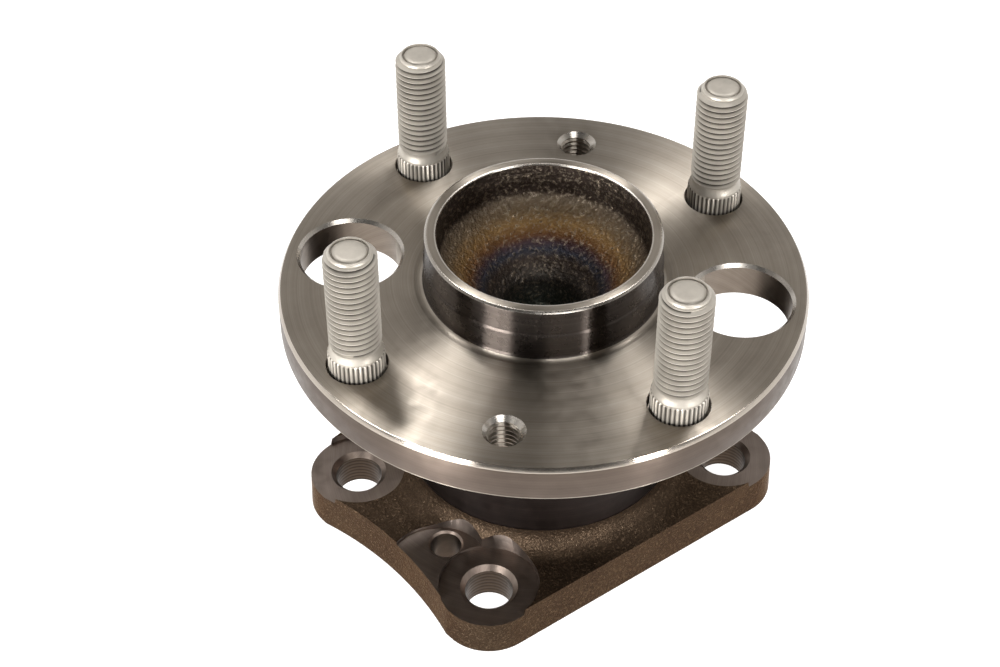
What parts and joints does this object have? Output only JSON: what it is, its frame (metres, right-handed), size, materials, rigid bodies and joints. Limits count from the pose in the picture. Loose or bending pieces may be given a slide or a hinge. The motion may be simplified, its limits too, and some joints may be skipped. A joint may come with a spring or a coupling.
{
  "type": "wheel hub bearing",
  "caption": "Wheel hub bearing unit for an undriven axle: a studded wheel flange turns on two rows of balls inside a forged outer ring that bolts to the axle.",
  "frame": {"origin": "centre of the wheel flange's outboard face, on the axis of rotation", "axes": "+Z along the axis of rotation towards the wheel; the outer ring's four bolt holes are symmetric about the YZ plane, with the wider pair on +Y"},
  "size_m": [0.1212, 0.1212, 0.1075],
  "materials": {
    "hub_steel": "turned satin steel, grey-beige, with a forged and heat-tinted bowl",
    "forged_steel": "brown forged skin with machined faces and a dark ground neck",
    "race_steel": "ground bearing steel",
    "stud_zinc": "matt zinc flake coating, light grey",
    "ball_steel": "polished bearing steel",
    "cage_plastic": "glass-filled polyamide",
    "pressed_steel": "cold-rolled sheet",
    "seal_rubber": "moulded nitrile rubber",
    "magnet_rubber": "magnetised ferrite rubber",
    "cap_steel": "drawn stainless sheet"
  },
  "bodies": {
    "axle_side": {"outer_ring": "forged_steel", "outboard_seal_case": "pressed_steel", "outboard_seal_lip": "seal_rubber", "inboard_cap": "cap_steel"},
    "wheel_side": {"wheel_hub": "hub_steel", "wheel_stud_1": "stud_zinc", "wheel_stud_2": "stud_zinc", "wheel_stud_3": "stud_zinc", "wheel_stud_4": "stud_zinc", "inner_ring": "race_steel", "encoder_carrier": "pressed_steel", "encoder_magnet": "magnet_rubber"},
    "outboard_row": {"cage_outboard": "cage_plastic", "ball_outboard_01": "ball_steel", "ball_outboard_02": "ball_steel", "ball_outboard_03": "ball_steel", "ball_outboard_04": "ball_steel", "ball_outboard_05": "ball_steel", "ball_outboard_06": "ball_steel", "ball_outboard_07": "ball_steel", "ball_outboard_08": "ball_steel", "ball_outboard_09": "ball_steel", "ball_outboard_10": "ball_steel", "ball_outboard_11": "ball_steel", "ball_outboard_12": "ball_steel", "ball_outboard_13": "ball_steel"},
    "inboard_row": {"cage_inboard": "cage_plastic", "ball_inboard_01": "ball_steel", "ball_inboard_02": "ball_steel", "ball_inboard_03": "ball_steel", "ball_inboard_04": "ball_steel", "ball_inboard_05": "ball_steel", "ball_inboard_06": "ball_steel", "ball_inboard_07": "ball_steel", "ball_inboard_08": "ball_steel", "ball_inboard_09": "ball_steel", "ball_inboard_10": "ball_steel", "ball_inboard_11": "ball_steel", "ball_inboard_12": "ball_steel", "ball_inboard_13": "ball_steel"}
  },
  "joints": [
    {"name": "hub_spin", "type": "hinge", "parent": "axle_side", "child": "wheel_side", "pos_m": [0, 0, 0], "axis": [0, 0, 1], "continuous": true},
    {"name": "outboard_row_spin", "type": "hinge", "parent": "axle_side", "child": "outboard_row", "pos_m": [0, 0, -0.028], "axis": [0, 0, 1], "continuous": true},
    {"name": "inboard_row_spin", "type": "hinge", "parent": "axle_side", "child": "inboard_row", "pos_m": [0, 0, -0.052], "axis": [0, 0, 1], "continuous": true}
  ],
  "couplings": [
    {"joint": "outboard_row_spin", "follows": "hub_spin", "ratio": 0.4224},
    {"joint": "inboard_row_spin", "follows": "hub_spin", "ratio": 0.4224}
  ]
}
